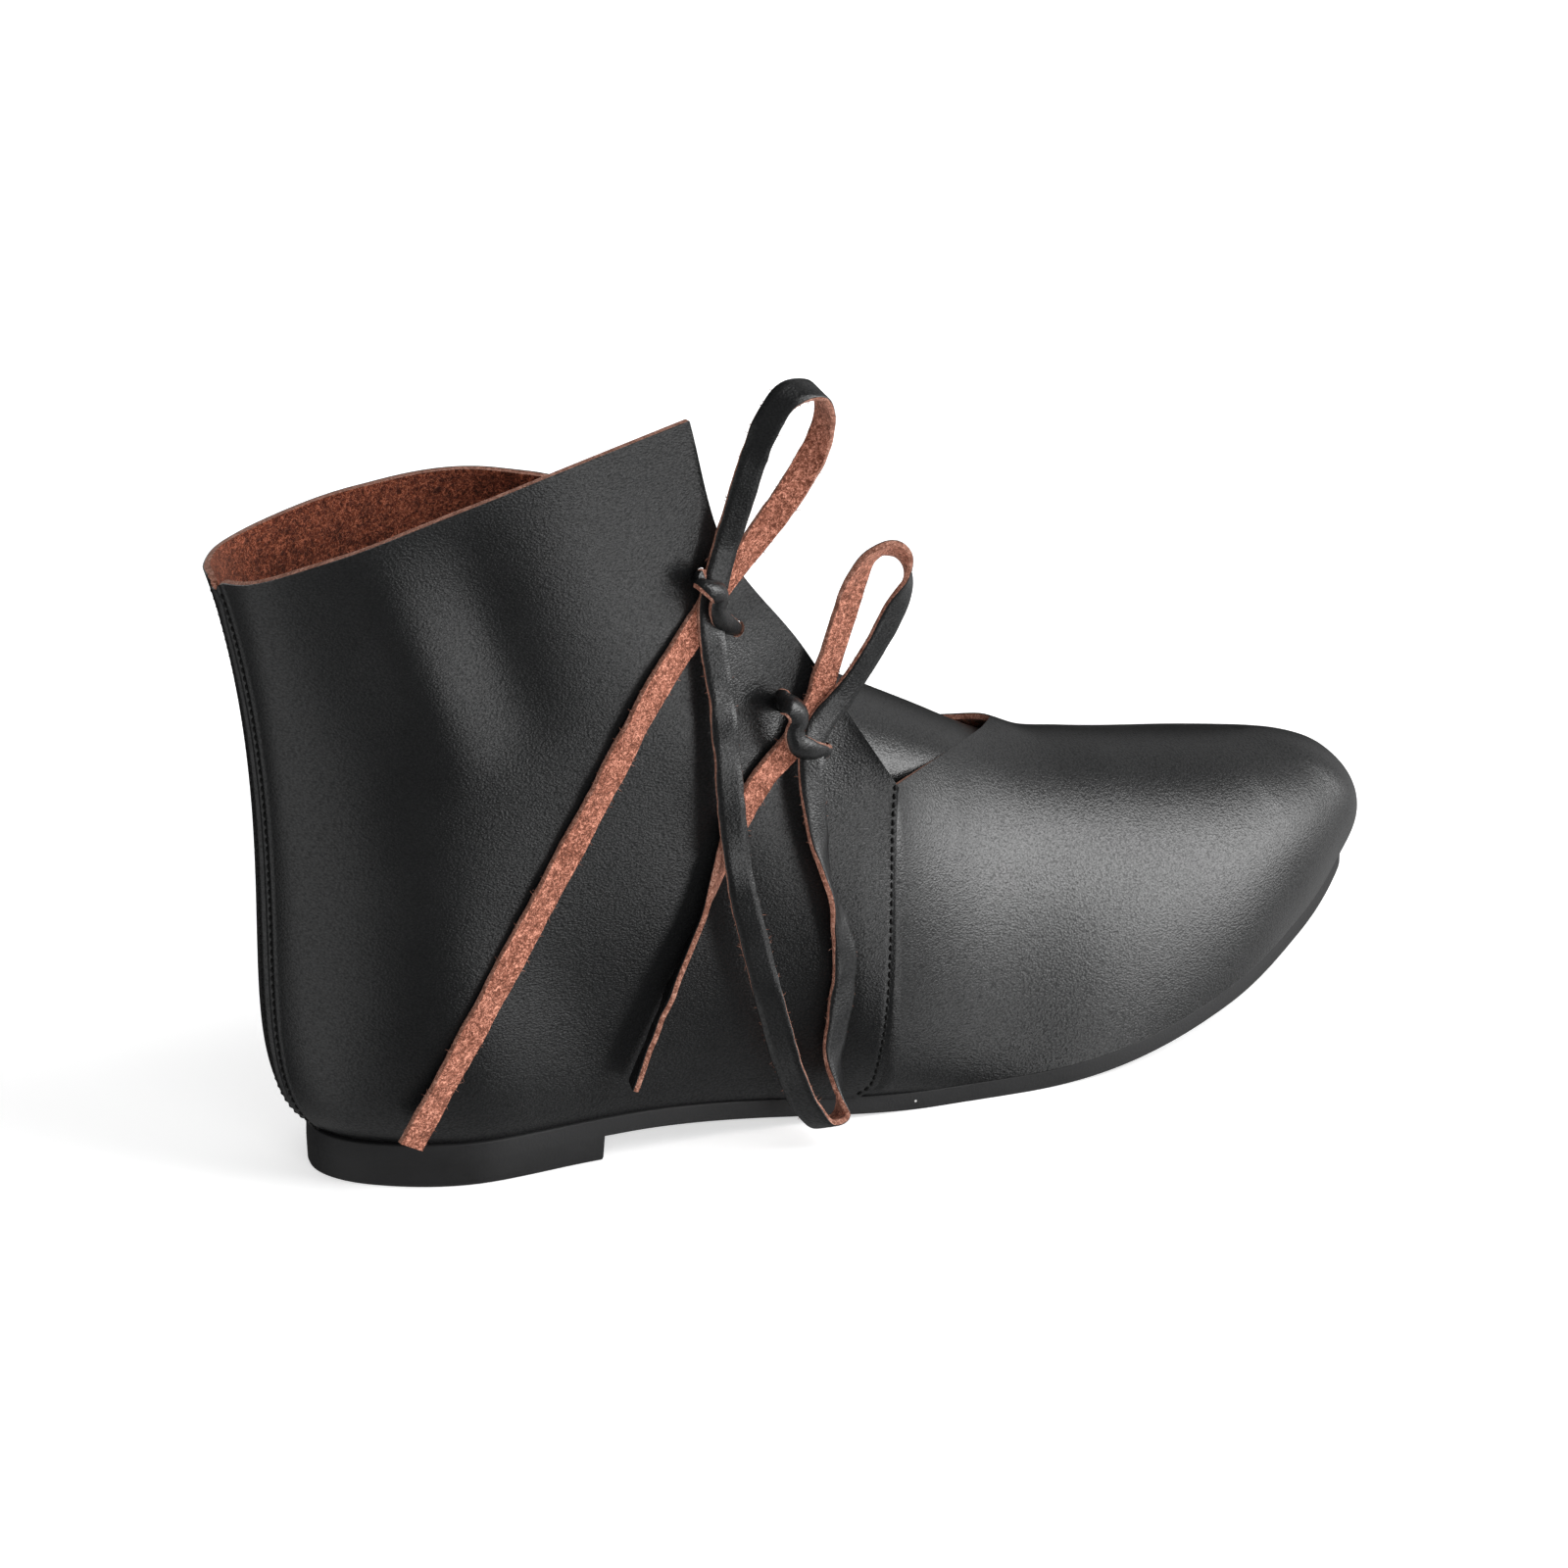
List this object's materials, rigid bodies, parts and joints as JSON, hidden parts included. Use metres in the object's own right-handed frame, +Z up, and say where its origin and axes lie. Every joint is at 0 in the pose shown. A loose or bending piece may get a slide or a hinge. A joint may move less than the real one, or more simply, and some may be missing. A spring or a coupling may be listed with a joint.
{
  "type": "ankle boot",
  "caption": "Medieval style ankle boot for the right foot: soft leather upper with an open throat, inner tongue, thong ties on the outer side and a thin sole with a low heel.",
  "frame": {"origin": "on the floor under the middle of the heel's flat underside", "axes": "+X from heel to toe, +Y to the inner side of a right foot, +Z up"},
  "size_m": [0.3162, 0.0902, 0.1872],
  "materials": {
    "sole_rubber": "matte black",
    "insole_leather": "plain brown flesh side",
    "upper_leather": "satin black grain, rust-brown flesh side",
    "tongue_leather": "satin black grain, rust-brown flesh side",
    "thong_leather": "satin black grain, rust-brown flesh side"
  },
  "bodies": {
    "root": {"outsole": "sole_rubber", "heel": "sole_rubber", "insole": "insole_leather", "upper": "upper_leather", "tongue": "tongue_leather", "upper_band": "thong_leather", "lower_band": "thong_leather", "inner_upper_band": "thong_leather", "inner_lower_band": "thong_leather", "upper_loop": "thong_leather", "upper_tail": "thong_leather", "slack_loop": "thong_leather", "lower_loop": "thong_leather", "lower_tail": "thong_leather"}
  },
  "joints": []
}
